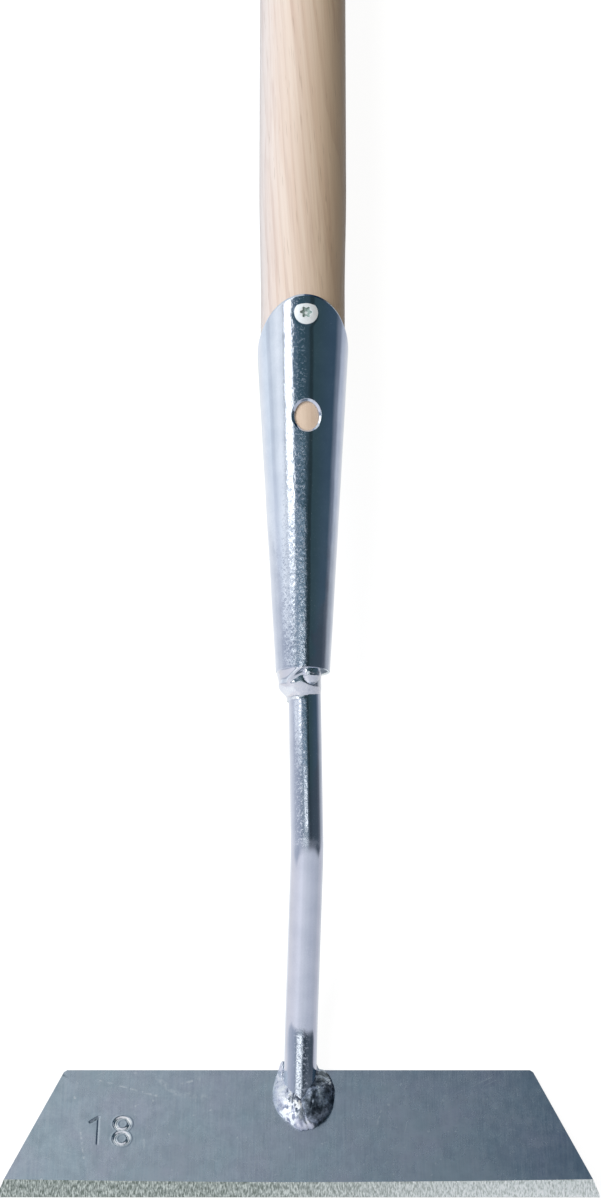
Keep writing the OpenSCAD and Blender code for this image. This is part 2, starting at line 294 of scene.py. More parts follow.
# %% Cards for welds and blade
BACK_TOP = (0.80, 0.84, 0.82)
low_front_card = card(
    (-1.0, RIM_LEFT), (-0.30, (0.92, 0.94, 0.97)), (-0.16, (0.62, 0.66, 0.71)),
    (-0.10, (0.80, 0.84, 0.88)), (0.02, (0.55, 0.60, 0.66)), (0.10, (0.16, 0.20, 0.24)),
    (0.30, (0.10, 0.13, 0.16)), (0.55, (0.30, 0.33, 0.37)), (1.0, RIM_RIGHT))
back_card = card(
    (-0.30, (0.72, 0.76, 0.77)), (-0.07, (0.66, 0.71, 0.74)), (0.07, (0.060, 0.105, 0.16)),
    (0.30, (0.008, 0.022, 0.045)))
room = blend_colour(tree, mapped(tree, lean, -0.70, -1.0), room, low_front_card)
behind = times(tree, mapped(tree, lean, 0.24, 0.38), band(tree, side, -0.70, 0.70, 0.08))
room = blend_colour(tree, behind, room, back_card)
room = blend_colour(tree, mapped(tree, lean, 0.85, 1.15), room, BACK_TOP)

# %% [markdown]
# Matt surfaces such as the wood get a plain daylight instead of the cards, cool from the left and
# warm and weak from the right, and the camera sees plain white. The Light Path node tells which
# kind of ray asks.

# %% World output
ray_x = add(tree, "SeparateXYZ", {"Vector": ray}).outputs["X"]
daylight = ramp(tree, mapped(tree, ray_x, -0.9, 0.8, kind="LINEAR"), [
    (0.0, (0.58, 0.72, 0.90)), (0.5, (0.33, 0.33, 0.33)), (1.0, (0.165, 0.119, 0.056))])
path = add(tree, "LightPath").outputs
for_metal, for_matt, plain = (add(tree, "Background", {"Color": colour, "Strength": 1.0})
                              for colour in (room, daylight, (1, 1, 1)))
lit = add(tree, "MixShader", {0: path["Is Diffuse Ray"], 1: for_metal.outputs[0],
                              2: for_matt.outputs[0]})
seen = add(tree, "MixShader", {0: path["Is Camera Ray"], 1: lit.outputs[0],
                               2: plain.outputs[0]})
add(tree, "OutputWorld", {"Surface": seen.outputs[0]})
print("world nodes:", len(tree.nodes))

# %% [markdown]
# The floor is a plain pale sheet. Emission for camera rays only lifts it to white without
# throwing more light on the tool, and the tool's soft shadow stays. Metal has the cards of the
# world in place of the floor. One wide soft lamp on the upper left is the key light of the wood.
# It is a sun, so the whole length of the pole gets the same light.

# %% Floor and key lamp
FLOOR_SIZE, FLOOR_Z = 30, -0.0003
PAPER_LIFT = 0.925
KEY_FROM = Vector((-1.05, 0.35, 1.30))
KEY_ENERGY, KEY_WIDTH, KEY_COLOUR = 2.60, math.radians(42), (0.97, 1.0, 1.03)
bpy.ops.mesh.primitive_plane_add(size=FLOOR_SIZE, location=(0, 0, FLOOR_Z))
floor = bpy.context.object
floor.name = "studio_floor"
paper = bpy.data.materials.new("white_paper")
paper.use_nodes = True
tree = paper.node_tree
tree.nodes.clear()
mottle = noise_at(tree, add(tree, "TexCoord").outputs["Object"], 60.0)
sheet = ramp(tree, mottle, [(0.3, (0.205, 0.205, 0.20)), (0.7, (0.215, 0.215, 0.21))])
matt = add(tree, "BsdfDiffuse", {"Color": sheet})
none = add(tree, "Emission", {"Color": (0, 0, 0), "Strength": 0.0})
lift = add(tree, "Emission", {"Color": (1, 1, 1), "Strength": PAPER_LIFT})
lifted = add(tree, "MixShader", {0: add(tree, "LightPath").outputs["Is Camera Ray"],
                                 1: none.outputs[0], 2: lift.outputs[0]})
both = add(tree, "AddShader", {0: matt.outputs[0], 1: lifted.outputs[0]})
add(tree, "OutputMaterial", {"Surface": both.outputs[0]})
floor.data.materials.append(paper)
floor.visible_glossy = False

key = bpy.data.objects.new("key_lamp", bpy.data.lights.new("key_lamp", "SUN"))
scene.collection.objects.link(key)
key.data.energy = KEY_ENERGY
key.data.angle = KEY_WIDTH
key.data.color = KEY_COLOUR
key.visible_glossy = False
key.location = KEY_FROM
key.rotation_euler = (-KEY_FROM).to_track_quat("-Z", "Y").to_euler()
print("key lamp from", tuple(round(v, 2) for v in key.location))

# %% [markdown]
# A few effects come back in several finishes, so each is a shader group with named sockets. The
# first is streaks, noise that is stretched along one direction: wood fibres, brushing and
# grinding marks.

# %% Streaks group


def group(name, inputs, outputs, kind="ShaderNodeTree"):
    """A new node group with its named sockets; returns its tree and both ends."""
    tree = bpy.data.node_groups.new(name, kind)
    for socket, (sort, value) in inputs.items():
        s = tree.interface.new_socket(socket, in_out="INPUT", socket_type="NodeSocket" + sort)
        if value is not None:
            s.default_value = value
    for socket, sort in outputs.items():
        tree.interface.new_socket(socket, in_out="OUTPUT", socket_type="NodeSocket" + sort)
    given, result = tree.nodes.new("NodeGroupInput"), tree.nodes.new("NodeGroupOutput")
    return tree, given.outputs, result.inputs


streaks, given, result = group("streaks", {
    "Vector": ("Vector", None), "Stretch": ("Vector", (1000, 10, 1000)),
    "Detail": ("Float", 3.0), "Low": ("Float", 0.35), "High": ("Float", 0.65)},
    {"Value": "Float"})
pulled = add(streaks, "VectorMath", {0: given["Vector"], 1: given["Stretch"]},
             operation="MULTIPLY").outputs[0]
streaks.links.new(mapped(streaks, noise_at(streaks, pulled, 1.0, given["Detail"]),
                         given["Low"], given["High"]), result["Value"])
print("streaks:", len(streaks.nodes), "nodes")

# %% [markdown]
# Plating is the cloudy, finely grained skin of zinc. Three noises do it: a slow cloud, a grain
# that is drawn out a little along the tool, and a fine one. Cloud and fine grain mix the two
# colours, cloud and grain pick the roughness, and the grains are the height.

# %% Plating group
plating, given, result = group("plating", {
    "Vector": ("Vector", None), "Grain": ("Float", 1100.0),
    "Dark": ("Color", (0.7, 0.7, 0.7, 1)), "Light": ("Color", (0.9, 0.9, 0.9, 1)),
    "Smooth": ("Float", 0.15), "Dull": ("Float", 0.3)},
    {"Color": "Color", "Roughness": "Float", "Height": "Float"})
tree = plating
CLOUD_SIZE, FINE_SIZE, DRAWN_OUT = 0.09, 3.3, (1.0, 0.35, 1.0)
cloud = noise_at(tree, given["Vector"], times(tree, given["Grain"], CLOUD_SIZE), 4.0)
drawn = add(tree, "VectorMath", {0: given["Vector"], 1: DRAWN_OUT}, operation="MULTIPLY")
grain = noise_at(tree, drawn.outputs[0], given["Grain"])
fine = noise_at(tree, given["Vector"], times(tree, given["Grain"], FINE_SIZE))
tone = plus(tree, times(tree, cloud, 0.55), times(tree, fine, 0.45))
shade = blend_colour(tree, mapped(tree, tone, 0.38, 0.62), given["Dark"], given["Light"])
tree.links.new(shade, result["Color"])
patch = mapped(tree, plus(tree, cloud, times(tree, grain, 0.6)), 0.62, 0.98)
span = maths(tree, "SUBTRACT", given["Dull"], given["Smooth"])
tree.links.new(plus(tree, given["Smooth"], times(tree, span, patch)), result["Roughness"])
tree.links.new(plus(tree, times(tree, grain, 0.92), times(tree, fine, 0.08)), result["Height"])
print("plating:", len(tree.nodes), "nodes")

# %% [markdown]
# Scuffs are short thin scratches that lie in patches. Each of three layers is a noise stretched
# to thin lines at its own angle, kept only where a second, slow noise is high.

# %% Scuffs group
scuffs, given, result = group("scuffs", {
    "Vector": ("Vector", None), "Turn": ("Float", 0.4), "Amount": ("Float", 0.5)},
    {"Mask": "Float"})
tree, layers = scuffs, []
for k, (spin, thinness) in enumerate(((0.0, 1500.0), (0.7, 1900.0), (-0.9, 1300.0))):
    spun = add(tree, "VectorRotate", {"Vector": given["Vector"],
                                      "Angle": plus(tree, given["Turn"], spin)},
               rotation_type="Z_AXIS").outputs[0]
    thin = add(tree, "VectorMath", {0: spun, 1: (thinness, 55.0 + 20 * k, 60.0)},
               operation="MULTIPLY").outputs[0]
    line = mapped(tree, noise_at(tree, thin, 1.0, 1.0), 0.70, 0.76)
    area = mapped(tree, noise_at(tree, spun, 46.0 + 9 * k, 1.0), 0.60, 0.70)
    layers.append(times(tree, line, area))
tree.links.new(times(tree, highest(tree, layers), given["Amount"]), result["Mask"])
print("scuffs:", len(tree.nodes), "nodes")

# %% [markdown]
# A score is one scratch, or a painted highlight, at a known place. The group measures how far a
# point is from the line between two ends, as one would with a ruler: it finds the nearest point on
# the line and takes the distance. A noise breaks the mark into dots.

# %% Score group
score, given, result = group("score", {
    "Vector": ("Vector", None), "Start": ("Vector", (0, 0, 0)), "End": ("Vector", (1, 0, 0)),
    "Width": ("Float", 0.0004)}, {"Mask": "Float"})
tree = score


def vector_math(operation, a, b, out="Vector"):
    return add(tree, "VectorMath", {0: a, 1: b}, operation=operation).outputs[out]


way = vector_math("SUBTRACT", given["End"], given["Start"])
off = vector_math("SUBTRACT", given["Vector"], given["Start"])
share = maths(tree, "DIVIDE", vector_math("DOT_PRODUCT", off, way, "Value"),
              vector_math("DOT_PRODUCT", way, way, "Value"))
share = mapped(tree, share, 0, 1, kind="LINEAR")
nearest = add(tree, "VectorMath", {0: way, "Scale": share}, operation="SCALE").outputs["Vector"]
gap = vector_math("DISTANCE", off, nearest, "Value")
dots = mapped(tree, noise_at(tree, given["Vector"], 700.0), 0.42, 0.60)
tree.links.new(times(tree, mapped(tree, gap, given["Width"], 0.0), dots), result["Mask"])
print("score:", len(tree.nodes), "nodes")

# %% [markdown]
# A finish puts the groups into a material, each with its own values. The Principled shader stays
# in the material, and what is the same all over is set on its own sockets.

# %% Finish helpers


def finish(name, metallic):
    """A new material with its Principled shader and Object coordinates."""
    material = bpy.data.materials.new(name)
    material.use_nodes = True
    tree = material.node_tree
    shader = tree.nodes["Principled BSDF"]
    shader.inputs["Metallic"].default_value = metallic
    return material, tree, shader.inputs, add(tree, "TexCoord").outputs["Object"]


def use(tree, effect, inputs):
    """A shader group placed in a material, with its values; returns its outputs."""
    return add(tree, "Group", inputs, node_tree=effect).outputs


def bump(tree, surface, height, distance):
    n = add(tree, "Bump", {"Height": height, "Distance": distance, "Strength": 1.0})
    tree.links.new(n.outputs["Normal"], surface["Normal"])


# %% [markdown]
# Zinc on sheet, bar, welds and screw is the same plating over a different ground: fine on the
# rolled sheet, drawn lengthwise on the bar, coarse on the welds. The tiny grain in its height
# breaks up the edge of the window's reflection, and dull flecks dot it, as on the real tool.
# Both lie on a strip along the front of sheet and bar and fade along it. Where the bar was bent,
# the zinc is crazed, and a short stretch is duller.

# %% Zinc finishes
STRIP_SOFT, STRIP_REST, FLECK_DULL = 0.0007, 0.15, 0.32
BEND_SOFT, BEND_DULL = 0.0014, 0.14


def zinc_finish(name, dark, light, grain, roughness, height, metallic=1.0,
                lines=0.0, strip=None, calm=(), crazed=None):
    """Plating with its colours, grain per metre, range of roughness and height. The strip is a
    range of X, calm gives ranges of Y with the share of the grain at both ends, and crazed is a
    range of Y."""
    material, tree, surface, where = finish(name, metallic)
    skin = use(tree, plating, {"Vector": where, "Grain": grain, "Dark": dark, "Light": light,
                               "Smooth": roughness[0], "Dull": roughness[1]})
    tree.links.new(skin["Color"], surface["Base Color"])
    relief, dull = skin["Height"], skin["Roughness"]
    place = add(tree, "SeparateXYZ", {"Vector": where}).outputs
    if lines:
        drawn = use(tree, streaks, {"Vector": where, "Stretch": (1500, 40, 1500), "Detail": 2.0})
        relief = plus(tree, relief, times(tree, drawn["Value"], lines))
    if strip:
        inside = times(tree, band(tree, place["X"], *strip, STRIP_SOFT, STRIP_REST),
                       highest(tree, [mapped(tree, place["Y"], *c) for c in calm]))
        relief = times(tree, relief, inside)
        flecks = mapped(tree, noise_at(tree, where, grain), 0.52, 0.66, 0.0, FLECK_DULL)
        dull = plus(tree, dull, times(tree, flecks, inside))
    if crazed:
        bent = band(tree, place["Y"], *crazed, BEND_SOFT)
        dull = plus(tree, dull, times(tree, bent, BEND_DULL))
    tree.links.new(dull, surface["Roughness"])
    bump(tree, surface, relief, height)
    return material


zinc_sheet = zinc_finish(
    "zinc_sheet", (0.70, 0.755, 0.865), (0.80, 0.85, 0.95), 1500.0, (0.05, 0.09), 0.000060,
    strip=(-0.0050, 0.0026), calm=[(-0.760, -0.690, 1.0, 0.55)])
zinc_bar = zinc_finish(
    "zinc_bar", (0.71, 0.755, 0.86), (0.80, 0.84, 0.94), 1600.0, (0.06, 0.10), 0.000035,
    lines=0.10, strip=(-0.0012, 0.0028),
    calm=[(-0.8405, -0.8375, 0.0, 1.0), (-0.889, -0.894, 0.0, 1.0)], crazed=(-0.8384, -0.8364))
zinc_weld = zinc_finish(
    "zinc_weld", (0.78, 0.82, 0.91), (0.97, 0.98, 1.0), 700.0, (0.08, 0.24), 0.000030)
zinc_screw = zinc_finish(
    "zinc_screw", (0.90, 0.92, 0.91), (0.98, 0.99, 0.98), 1500.0, (0.40, 0.52), 0.000010, 0.25)
# The recess of the screw is dark grey-green: painted shade in its depth.
recess_shade = zinc_finish(
    "recess_shade", (0.16, 0.24, 0.215), (0.42, 0.52, 0.48), 900.0, (0.35, 0.5), 0.000010, 0.25)
print("zinc on sheet, bar, welds and screw")

# %% [markdown]
# The blade is satin plated: cloudy grey with tints and smears, fine brushing towards the cutting
# edge, bright flecks and scuffs, and eight scores at the places where the real plate has them.
# The masks are joined by their highest value, so that marks which cross don't add up.

# %% Satin blade
SCORES = (((-61.5, 5.6), (-52.0, 2.6), 0.45), ((-52.0, 2.6), (-43.5, 0.0), 0.6),
          ((-44.0, 7.0), (-38.4, 1.0), 1.3), ((-38.4, 1.0), (-28.0, -0.6), 1.6),
          ((-36.0, 4.2), (-30.5, 6.0), 0.7), ((24.0, -10.0), (25.5, -4.0), 0.5),
          ((-66.0, -13.0), (-64.5, -22.0), 0.5), ((-47.0, -13.5), (-46.5, -18.0), 0.5))
THIN_SCORE, WIDE_SCORE = 0.75, 0.4
satin_blade, tree, surface, where = finish("satin_blade", 1.0)
skin = use(tree, plating, {"Vector": where, "Grain": 420.0, "Dark": (0.49, 0.555, 0.635),
                           "Light": (0.55, 0.61, 0.685), "Smooth": 0.21, "Dull": 0.30})
tints = ramp(tree, noise_at(tree, where, 75.0), [
    (0.34, (0.95, 1.0, 0.985)), (0.5, (1.0, 1.0, 1.0)), (0.66, (1.04, 0.985, 1.01))])
smears = ramp(tree, noise_at(tree, where, 260.0, 4.0), [
    (0.36, (0.94, 0.945, 0.95)), (0.64, (1.05, 1.05, 1.045))])
tone = skin["Color"]
for cast in (tints, smears):
    tone = blend_colour(tree, 1.0, tone, cast, "MULTIPLY")
brushed = use(tree, streaks, {"Vector": where, "Stretch": (1700, 80, 80), "Detail": 3.0,
                              "Low": 0.30, "High": 0.70})["Value"]
tone = blend_colour(tree, mapped(tree, brushed, 0, 1, 0.0, 0.34, "LINEAR"), tone,
                    (0.66, 0.70, 0.75))
flecks = mapped(tree, noise_at(tree, where, 620.0, 1.0), 0.745, 0.775)
scratches = use(tree, scuffs, {"Vector": where, "Turn": 1.15, "Amount": 0.5})
marks = [times(tree, flecks, 0.6), scratches["Mask"]]
for start, end, width in SCORES:
    one = use(tree, score, {"Vector": where, "Start": on_blade @ Vector((*start, 0)),
                            "End": on_blade @ Vector((*end, 0)), "Width": width * MM})
    marks.append(times(tree, one["Mask"], THIN_SCORE if width < 1 else WIDE_SCORE))
tree.links.new(blend_colour(tree, highest(tree, marks), tone, (0.82, 0.85, 0.88)),
               surface["Base Color"])
tree.links.new(skin["Roughness"], surface["Roughness"])
bump(tree, surface, plus(tree, times(tree, brushed, 0.2), skin["Height"]), 0.000010)
print("satin blade:", len(tree.nodes), "nodes")

# %% [markdown]
# The bevel was ground after plating, so it is bare steel, warmer, with coarse grinding marks
# across the edge; its colour gets lighter towards the right. The deep walls of the 8 in the number
# that is pressed into the plate are bright zinc.

# %% Ground bevel and pressed number
ground_bevel, tree, surface, where = finish("ground_bevel", 0.5)
coarse = use(tree, streaks, {"Vector": where, "Stretch": (1900, 640, 640), "Detail": 3.0,
                             "Low": 0.30, "High": 0.70})
light = use(tree, streaks, {"Vector": where, "Stretch": (3800, 1100, 1100), "Detail": 2.0})
marks = plus(tree, times(tree, coarse["Value"], 0.6), times(tree, light["Value"], 0.4))
steel = ramp(tree, marks, [
    (0.18, (0.20, 0.235, 0.205)), (0.5, (0.42, 0.46, 0.43)), (0.82, (0.74, 0.78, 0.73))])
# Lighter colours of the same marks, blended in towards the right.
brighter_steel = ramp(tree, marks, [
    (0.18, (0.58, 0.61, 0.58)), (0.5, (0.85, 0.88, 0.86)), (0.82, (1.0, 1.0, 0.99))])
along_edge = add(tree, "SeparateXYZ", {"Vector": where}).outputs["X"]
tree.links.new(blend_colour(tree, mapped(tree, along_edge, -0.03, 0.075), steel, brighter_steel),
               surface["Base Color"])
tree.links.new(mapped(tree, marks, 0, 1, 0.36, 0.52, "LINEAR"), surface["Roughness"])
bump(tree, surface, marks, 0.00006)
pressed_number = zinc_finish(
    "pressed_number", (0.86, 0.89, 0.93), (1.0, 1.0, 1.0), 1500.0, (0.12, 0.26), 0.000030)
print("ground bevel and pressed number")

# %% [markdown]
# Weld metal is patchy: oxide where it was hottest, and zinc that ran into the hollows. One noise
# picks the colour from a ramp. The left pass at the foot is pale, with a painted highlight near
# the middle, a white and less metallic streak, and the right one stayed dark.

# %% Weld finishes


def weld_finish(name, stops, patches, grain):
    """Patchy weld metal: its ramp of colours, the patches per metre, the height of the grain."""
    material, tree, surface, where = finish(name, 0.85)
    tone = ramp(tree, noise_at(tree, where, patches, 4.0, 0.62), stops, "LINEAR")
    tree.links.new(tone, surface["Base Color"])
    tree.links.new(mapped(tree, noise_at(tree, where, patches * 1.7), 0.35, 0.65, 0.16, 0.42),
                   surface["Roughness"])
    bump(tree, surface, noise_at(tree, where, 1100.0, 3.0), grain)
    return material, tree, surface, where, tone


burnt_weld = weld_finish("burnt_weld", [
    (0.36, (0.045, 0.058, 0.078)), (0.47, (0.15, 0.18, 0.22)), (0.58, (0.37, 0.42, 0.52)),
    (0.66, (0.86, 0.92, 1.0))], 380.0, 0.00012)[0]
pale_weld, tree, surface, where, tone = weld_finish("pale_weld", [
    (0.32, (0.42, 0.46, 0.60)), (0.46, (0.68, 0.71, 0.84)), (0.62, (0.90, 0.92, 0.98))],
    420.0, 0.00008)
# A painted highlight: a white streak near the middle of the left pass, less metallic, so the lamp
# lights it.
highlight_streak = use(tree, score, {"Vector": where, "Start": on_blade @ Vector((-3.4, -8.6, 1)),
                           "End": on_blade @ Vector((-0.6, -3.4, 4)), "Width": 0.0046})
white = mapped(tree, highlight_streak["Mask"], 0.05, 0.40)
tree.links.new(blend_colour(tree, white, tone, (0.96, 0.97, 0.98)), surface["Base Color"])
tree.links.new(mapped(tree, white, 0, 1, 0.85, 0.10, "LINEAR"), surface["Metallic"])
print("pale and burnt weld")

# %% [markdown]
# Ash is a pale wood with long growth rings, fine fibres and short dark pores. Rings round a pith
# that lies outside the pole give slow bands on its side and arcs on its butt. A Mapping node puts
# the rings on the pole's own axis, and a small turn lets the grain run off at a slope, as it does
# in a sawn pole.

# %% Ash grain
GRAIN_SLOPE, RING_SCALE = -0.085, 95.0
PITH = (-0.034, 0.0, -0.075)
ash_wood, tree, surface, where = finish("ash_wood", 0.0)
sloped = add(tree, "VectorRotate", {"Vector": where, "Angle": GRAIN_SLOPE},
             rotation_type="Z_AXIS").outputs[0]
grown = add(tree, "Mapping", {"Vector": sloped, "Location": PITH, "Rotation": (REST_TILT, 0, 0),
                              "Scale": (1, 0.035, 1)}).outputs[0]


def growth_rings(wobble, detail, detail_scale, detail_rough):
    return add(tree, "TexWave", {"Vector": grown, "Scale": RING_SCALE, "Distortion": wobble,
                                 "Detail": detail, "Detail Scale": detail_scale,
                                 "Detail Roughness": detail_rough},
               wave_type="RINGS", rings_direction="Y", wave_profile="SAW").outputs["Fac"]


def grain_lines(over, along, detail, low=0.35, high=0.65):
    """Streaks along the grain, with their counts per metre over and along it."""
    return use(tree, streaks, {"Vector": sloped, "Stretch": (over, along, over),
                               "Detail": detail, "Low": low, "High": high})["Value"]


fibre = grain_lines(1500, 12, 4.0)
broad = grain_lines(210, 6, 2.0, 0.32, 0.68)
veins = grain_lines(430, 16, 3.0, 0.52, 0.70)
pores = grain_lines(2100, 75, 1.0, 0.66, 0.74)
late_wood = mapped(tree, growth_rings(6.5, 2.0, 1.3, 0.6), 0.55, 1.0)
print("ash grain:", len(tree.nodes), "nodes")

# %% [markdown]
# Each kind of line is laid over the last with its own strength and colour. Light and shade are
# painted across the pole: its left side is paler and cooler, with a painted sheen at the left
# edge, and its right side is warmer and darker. The nose, which sits in the socket, is a little
# yellower,
# and the butt shows end grain: the same rings cut across, with pores as dots.

# %% Ash colours
PALE, WARM, LATE = (0.835, 0.705, 0.625), (0.79, 0.64, 0.555), (0.65, 0.490, 0.405)
VEIN, FIBRE, PORE = (0.62, 0.455, 0.385), (0.94, 0.86, 0.81), (0.43, 0.32, 0.245)
NOSE, END_PORE = (0.82, 0.62, 0.46), (0.30, 0.21, 0.15)
tone = blend_colour(tree, broad, PALE, WARM)
for mask, strength, colour in ((late_wood, 0.40, LATE), (veins, 0.50, VEIN),
                               (fibre, 0.22, FIBRE), (pores, 0.35, PORE)):
    tone = blend_colour(tree, times(tree, mask, strength), tone, colour)
place = add(tree, "SeparateXYZ", {"Vector": where}).outputs
# Painted light and shade across the pole: lighter and bluer on the left, brightest at the left
# edge, darker and warmer towards the right.
painted_side_light = ramp(tree, mapped(tree, place["X"], -0.014, 0.014, kind="LINEAR"), [
    (0.0, (1.06, 1.075, 1.11)), (0.12, (0.932, 0.924, 0.92)), (0.30, (0.92, 0.885, 0.83)),
    (0.48, (0.92, 0.855, 0.765)), (1.0, (0.90, 0.80, 0.60))], "LINEAR")
tone = blend_colour(tree, 1.0, tone, painted_side_light, "MULTIPLY")
seat_y = (upright @ Vector((0, 0, 100))).y
nose = mapped(tree, place["Y"], seat_y, seat_y - 0.008)
tone = blend_colour(tree, times(tree, nose, 0.65), tone, NOSE)
butt_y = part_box("handle")[1][1]
end_face = mapped(tree, place["Y"], butt_y - 0.0040, butt_y - 0.0006)
end_grain = ramp(tree, growth_rings(1.2, 1.0, 1.0, 0.5), [
    (0.0, (0.70, 0.56, 0.44)), (0.75, (0.62, 0.47, 0.35)), (1.0, (0.40, 0.28, 0.19))])
dots = mapped(tree, noise_at(tree, where, 1900.0, 1.0), 0.60, 0.70, 0.0, 0.5)
tone = blend_colour(tree, end_face, tone, blend_colour(tree, dots, end_grain, END_PORE))
tree.links.new(tone, surface["Base Color"])
tree.links.new(mapped(tree, fibre, 0, 1, 0.36, 0.48, "LINEAR"), surface["Roughness"])
surface["Specular IOR Level"].default_value = 0.5
surface["Sheen Weight"].default_value = 0.9
surface["Sheen Roughness"].default_value = 0.4
bump(tree, surface, maths(tree, "SUBTRACT", fibre, pores), 0.000016)
print("ash wood:", len(tree.nodes), "nodes")

# %% [markdown]
# Every piece ends the same way: its points are put in place by one of the frames, the mesh gets
# smooth shading with crisp edges, also where its first two finishes meet, and the piece says which
# solid it stands for. Several pieces are skins over rings that lie one below the other, so one
# helper makes the faces of all of those.

# %% Piece helpers
RING = 96
ANGLES = [2 * math.pi * i / RING for i in range(RING)]


def piece(name, verts, faces, place, materials, sharp=40, face_materials=None):
    mesh = bpy.data.meshes.new(name)
    mesh.from_pydata([place @ Vector(v) for v in verts], [], faces)
    for material in materials:
        mesh.materials.append(material)
    if face_materials:
        mesh.polygons.foreach_set("material_index", face_materials)
    mesh.validate()
    mesh.shade_smooth()
    mesh.set_sharp_from_angle(angle=math.radians(sharp))
    finishes = {}
    for face in mesh.polygons:
        for edge in face.edge_keys:
            finishes.setdefault(edge, set()).add(face.material_index)
    for edge in mesh.edges:
        edge.use_edge_sharp = edge.use_edge_sharp or finishes[edge.key] == {0, 1}
    return hand_over(mesh, name)


def hand_over(mesh, node):
    obj = bpy.data.objects.new(node + "_skin", mesh)
    scene.collection.objects.link(obj)
    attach(obj, "root")
    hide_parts(node)
    print(obj.name, len(mesh.vertices), "points,", len(mesh.polygons), "faces")
    return obj


def circle(r, z):
    return [(r * math.cos(a), r * math.sin(a), z) for a in ANGLES]


def capped_rings(rings, first, last):
    """Points and faces of a skin over rings, from the top down, with a point at each end."""
    verts = [first] + [p for ring in rings for p in ring] + [last]
    steps, end = len(rings[0]), len(verts) - 1
    pairs = [(i, (i + 1) % steps) for i in range(steps)]
    faces = [(0, 1 + i, 1 + k) for i, k in pairs]
    for a in range(1, end - steps, steps):
        faces += [(a + i, a + steps + i, a + steps + k, a + k) for i, k in pairs]
    faces += [(end, end - steps + k, end - steps + i) for i, k in pairs]
    return verts, faces


# %% [markdown]
# The handle is an ash pole turned round: a tapered nose inside the socket, a waist just above the
# mouth where the maker slimmed it, the full pole, and a rounded butt. A lathe does the same in
# code: one outline of (radius, height), turned about the axis.

# %% Handle
POLE_R, WAIST_R = 14.0, 13.4
NOSE_Z, NOSE_R = 27.0, 8.634
SEAT_Z, WAIST_Z, POLE_Z = 108.2, 121.0, 159.0
BUTT_Z, BUTT_ROUND = 1727.0, 9.0

outline = [(NOSE_R - 1, NOSE_Z), (NOSE_R - 0.3, NOSE_Z + 0.3), (NOSE_R, NOSE_Z + 1)]
outline += [(NOSE_R + (WAIST_R - NOSE_R) * t, NOSE_Z + 1 + (SEAT_Z - NOSE_Z - 1) * t)
            for t in (0.25, 0.5, 0.75, 1)]
outline += [(WAIST_R + (POLE_R - WAIST_R) * smooth(WAIST_Z, POLE_Z, z), z)
            for z in [WAIST_Z + (POLE_Z - WAIST_Z) * i / 16 for i in range(17)]]
straight = BUTT_Z - BUTT_ROUND - POLE_Z
outline += [(POLE_R, POLE_Z + straight * i / 60) for i in range(1, 61)]
outline += [(POLE_R - BUTT_ROUND * (1 - math.cos(a)), BUTT_Z - BUTT_ROUND * (1 - math.sin(a)))
            for a in [math.pi / 2 * i / 12 for i in range(1, 13)]]
outline += [(3, BUTT_Z)]
verts, faces = capped_rings([circle(r, z) for r, z in reversed(outline)],
                            (0, 0, BUTT_Z), (0, 0, NOSE_Z))
piece("handle", verts, faces, upright, [ash_wood])

# %% [markdown]
# The socket starts as a flat blank of sheet with a rounded end and two holes, and is rolled into
# a cone whose edges meet at the back. The script does the same, and first draws the blank in the
# flat: its rim, its seam edges, the open hole and the hole of the screw.

# %% Socket blank
SMALL_R, CONE_SLOPE, SOCKET_L = 8.4, 0.0586864, 118.0
MOUTH_R = SMALL_R + CONE_SLOPE * SOCKET_L
MOUTH_TAN = math.tan(math.radians(44))
BACK_Z, SEAM_HALF = 89, 0.6
HOLE_X, HOLE_Z, HOLE_W, HOLE_H = 0.45, 79.0, 4.1, 4.65
SCREW_Z, SCREW_HOLE_R = 111.9, 2.3
FLAT_R = 12.0  # an angle times this is the distance along the flat blank
FRONT_ANGLE = 1.2  # both holes lie within this angle of the tongue


def cone_r(z):
    return SMALL_R + CONE_SLOPE * z


def mouth_z(a):
    """Height of the slanting mouth at the angle a from the tongue."""
    c = math.cos(a)
    return (SOCKET_L - (MOUTH_R - SMALL_R * c) * MOUTH_TAN) / (1 - CONE_SLOPE * c * MOUTH_TAN)


def seam_a(z):
    return math.pi - math.asin(SEAM_HALF / cone_r(z))


def hole_ring(x0, z0, half_w, half_h, count):
    """A drilled round hole, drawn on the flat blank."""
    ring = []
    for i in range(count):
        t = 2 * math.pi * i / count
        z = z0 + half_h * math.sin(t)
        ring.append((math.asin((x0 + half_w * math.cos(t)) / cone_r(z)) * FLAT_R, z))
    return ring


def blank_outline():
    top = seam_a(BACK_Z)
    back = mouth_z(top)
    points = [(a * FLAT_R, mouth_z(a)) for a in [top - 2 * top * i / 150 for i in range(151)]]
    points += [(-seam_a(z) * FLAT_R, z) for z in [back * (1 - i / 70) for i in range(1, 71)]]
    points += [((-1 + 2 * i / 60) * seam_a(0) * FLAT_R, 0.0) for i in range(1, 60)]
    points += [(seam_a(z) * FLAT_R, z) for z in [back * i / 70 for i in range(70)]]
    return points


def hole_gaps(a, z):
    """Distances from the edge of the open hole and from the middle of the screw."""
    x = cone_r(z) * math.sin(a)
    return (math.hypot((x - HOLE_X) * HOLE_H / HOLE_W, z - HOLE_Z) - HOLE_H,
            math.hypot(x, z - SCREW_Z))


def in_blank(s, z):
    a = s / FLAT_R
    if z < 0 or abs(a) > seam_a(max(0, min(z, SOCKET_L))) or z > mouth_z(a):
        return False
    from_hole, from_screw = hole_gaps(a, z)
    return abs(a) > FRONT_ANGLE or (from_hole > 0 and from_screw > SCREW_HOLE_R)


print("blank: %.1f mm round its mouth" % (2 * math.pi * MOUTH_R))

# %% [markdown]
# A flat region with holes is filled with triangles in one go by a Delaunay triangulation, which
# keeps the edges that it is given. An even grid of points goes in between, and extra points where
# the sheet will be shaped: round the screw, round the hole and along the rim.

